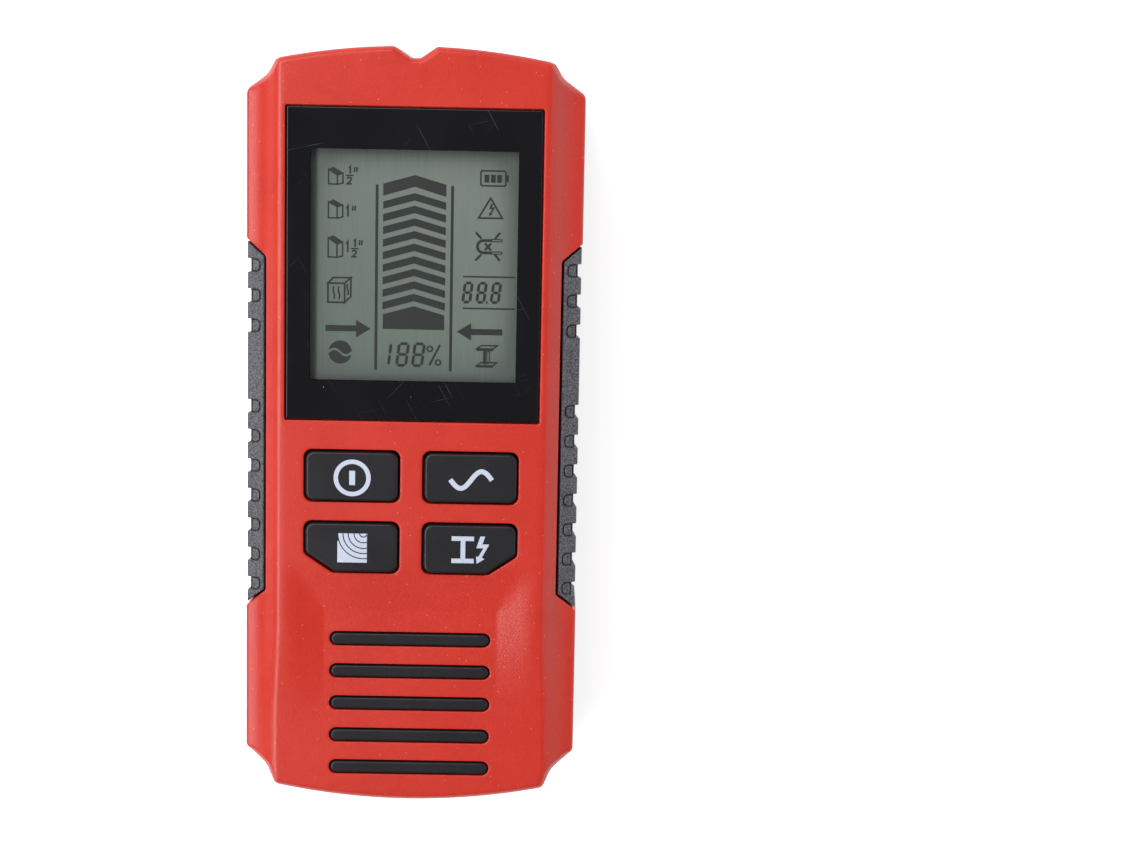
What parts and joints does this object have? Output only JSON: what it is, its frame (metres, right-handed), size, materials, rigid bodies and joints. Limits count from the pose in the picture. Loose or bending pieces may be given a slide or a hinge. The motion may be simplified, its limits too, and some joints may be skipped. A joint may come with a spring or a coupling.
{
  "type": "stud finder",
  "caption": "Handheld wall scanner with a notched head, wide display window, press keys, ribbed lower panel, side grips and a sliding battery door.",
  "frame": {"origin": "centre of the footprint, on the flat back that rests on a surface", "axes": "+Z out of the display, +Y towards the notched end, X across the width"},
  "size_m": [0.066, 0.15, 0.0307],
  "materials": {
    "case_red": "fine spark texture, satin",
    "case_charcoal": "fine spark texture, satin",
    "grip_rubber": "fine matte",
    "key_cap": "matte with polished edge",
    "window_gloss": "gloss",
    "lcd_glass": "satin",
    "foam_black": "open foam",
    "nylon_white": "matte",
    "connector_rubber": "matte",
    "switch_metal": "brushed",
    "component_black": "matte",
    "component_metal": "satin",
    "board_green": "solder mask",
    "coil_copper": "enamelled wire",
    "ferrite": "matte",
    "battery_cell": "satin",
    "lead_red": "satin",
    "screw_steel": "plated"
  },
  "bodies": {
    "case": {"ac_switch": "switch_metal", "amplifier_chip": "component_black", "battery": "battery_cell", "battery_foam": "foam_black", "battery_lead_black": "component_black", "battery_lead_red": "lead_red", "battery_snap": "component_black", "board_screw_lower_left": "screw_steel", "board_screw_lower_right": "screw_steel", "board_screw_upper_left": "screw_steel", "board_screw_upper_right": "screw_steel", "buzzer": "component_black", "case_screw_lower_left": "screw_steel", "case_screw_lower_right": "screw_steel", "case_screw_upper_left": "screw_steel", "case_screw_upper_right": "screw_steel", "coil_bobbin": "nylon_white", "coil_core": "ferrite", "coil_winding": "coil_copper", "display_window": "window_gloss", "front_case": "case_red", "lcd_connector_lower": "connector_rubber", "lcd_connector_upper": "connector_rubber", "lcd_frame": "nylon_white", "lcd_glass": "lcd_glass", "left_grip": "grip_rubber", "main_board": "board_green", "main_socket": "nylon_white", "metal_switch": "switch_metal", "power_switch": "switch_metal", "processor_chip": "component_black", "rear_case": "case_charcoal", "rib_insert": "grip_rubber", "right_grip": "grip_rubber", "sensor_board": "board_green", "sensor_ribbon": "nylon_white", "sensor_socket": "nylon_white", "smoothing_capacitor": "component_metal", "window_gasket": "foam_black", "wood_switch": "switch_metal"},
    "battery_door": {"battery_door": "case_charcoal"},
    "power_key": {"power_key": "key_cap", "power_plunger": "component_black"},
    "ac_key": {"ac_key": "key_cap", "ac_plunger": "component_black"},
    "wood_key": {"wood_key": "key_cap", "wood_plunger": "component_black"},
    "metal_key": {"metal_key": "key_cap", "metal_plunger": "component_black"}
  },
  "joints": [
    {"name": "power_press", "type": "slide", "parent": "case", "child": "power_key", "axis": [0, 0, -1], "range_m": [0, 0.0005], "stiffness_N_per_m": 2000},
    {"name": "ac_press", "type": "slide", "parent": "case", "child": "ac_key", "axis": [0, 0, -1], "range_m": [0, 0.0005], "stiffness_N_per_m": 2000},
    {"name": "wood_press", "type": "slide", "parent": "case", "child": "wood_key", "axis": [0, 0, -1], "range_m": [0, 0.0005], "stiffness_N_per_m": 2000},
    {"name": "metal_press", "type": "slide", "parent": "case", "child": "metal_key", "axis": [0, 0, -1], "range_m": [0, 0.0005], "stiffness_N_per_m": 2000},
    {"name": "door_slide", "type": "slide", "parent": "case", "child": "battery_door", "axis": [0, -1, 0], "range_m": [0, 0.045]}
  ]
}
